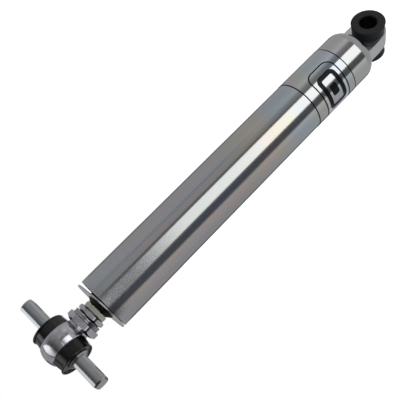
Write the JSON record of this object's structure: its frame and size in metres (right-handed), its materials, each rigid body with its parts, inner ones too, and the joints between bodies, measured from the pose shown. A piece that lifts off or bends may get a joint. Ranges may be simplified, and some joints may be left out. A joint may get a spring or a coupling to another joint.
{
  "type": "monotube shock absorber",
  "caption": "Monotube shock absorber with a domed tube, a rubber-bushed eye at one end and a nut stack, bushed eye and drilled cross pin at the other.",
  "frame": {"origin": "centre of the body-end eye's sleeve", "axes": "+Z along the shock axis toward the rod end, +X along the cross pin, +Y completing the frame; the body-end eye's bore is turned 10 degrees from +Y"},
  "size_m": [0.0938, 0.0512, 0.4303],
  "materials": {
    "polished_tube": "polished zinc plate",
    "plated_eye": "satin zinc plate",
    "black_rubber": "matt",
    "dark_sleeve": "black oxide",
    "clear_film": "clear printed film",
    "machined_aluminium": "turned",
    "bearing_band": "filled fluoropolymer",
    "seal_rubber": "matt",
    "ground_rod": "hard chrome",
    "spring_steel": "bright rolled",
    "black_cap": "black",
    "disc_steel": "plain zinc plate",
    "pale_zinc": "yellow passivated zinc",
    "plain_zinc": "plain zinc plate",
    "polished_eye": "polished",
    "pin_steel": "blue zinc plate"
  },
  "bodies": {
    "shock_body": {"body_tube": "polished_tube", "body_end_eye": "plated_eye", "lower_bushing": "black_rubber", "label_band": "clear_film", "rod_guide": "machined_aluminium", "guide_bush": "bearing_band", "guide_o_ring": "seal_rubber", "rod_seal": "seal_rubber", "guide_wire_rings": "spring_steel", "end_cap": "black_cap", "wiper_seal": "seal_rubber"},
    "eye_sleeve": {"lower_sleeve": "dark_sleeve"},
    "gas_piston": {"floating_piston": "machined_aluminium", "floating_piston_band": "bearing_band", "floating_piston_o_ring": "seal_rubber"},
    "piston_seal": {"piston_band": "bearing_band", "piston_energizer_ring": "seal_rubber"},
    "rod": {"piston_rod": "ground_rod", "main_piston": "machined_aluminium", "compression_shims": "spring_steel", "rebound_shims": "spring_steel", "upper_backing_plate": "spring_steel", "lower_backing_plate": "spring_steel", "piston_nut": "plain_zinc", "top_out_bumper": "black_rubber", "bump_disc": "disc_steel", "bump_stop": "black_rubber", "jam_nut": "pale_zinc", "lock_nut": "plain_zinc", "eye_foot": "plain_zinc", "rod_end_eye": "polished_eye", "upper_bushing": "black_rubber"},
    "pin": {"cross_pin": "pin_steel"}
  },
  "joints": [
    {"name": "rod_slide", "type": "slide", "parent": "shock_body", "child": "piston_seal", "axis": [0, 0, 1], "range_m": [0, 0.2032]},
    {"name": "rod_spin", "type": "hinge", "parent": "piston_seal", "child": "rod", "pos_m": [0, 0, 0.3], "axis": [0, 0, 1], "continuous": true},
    {"name": "gas_piston_slide", "type": "slide", "parent": "shock_body", "child": "gas_piston", "axis": [0, 0, 1], "range_m": [0, 0.0192]},
    {"name": "sleeve_twist", "type": "hinge", "parent": "shock_body", "child": "eye_sleeve", "pos_m": [0, 0, 0], "axis": [-0.1736, 0.9848, 0], "range_deg": [-15, 15], "stiffness_Nm_per_rad": 20},
    {"name": "pin_twist", "type": "hinge", "parent": "rod", "child": "pin", "pos_m": [0, 0, 0.3947], "axis": [1, 0, 0], "range_deg": [-15, 15], "stiffness_Nm_per_rad": 20}
  ],
  "couplings": [
    {"joint": "gas_piston_slide", "follows": "rod_slide", "ratio": 0.09263}
  ]
}
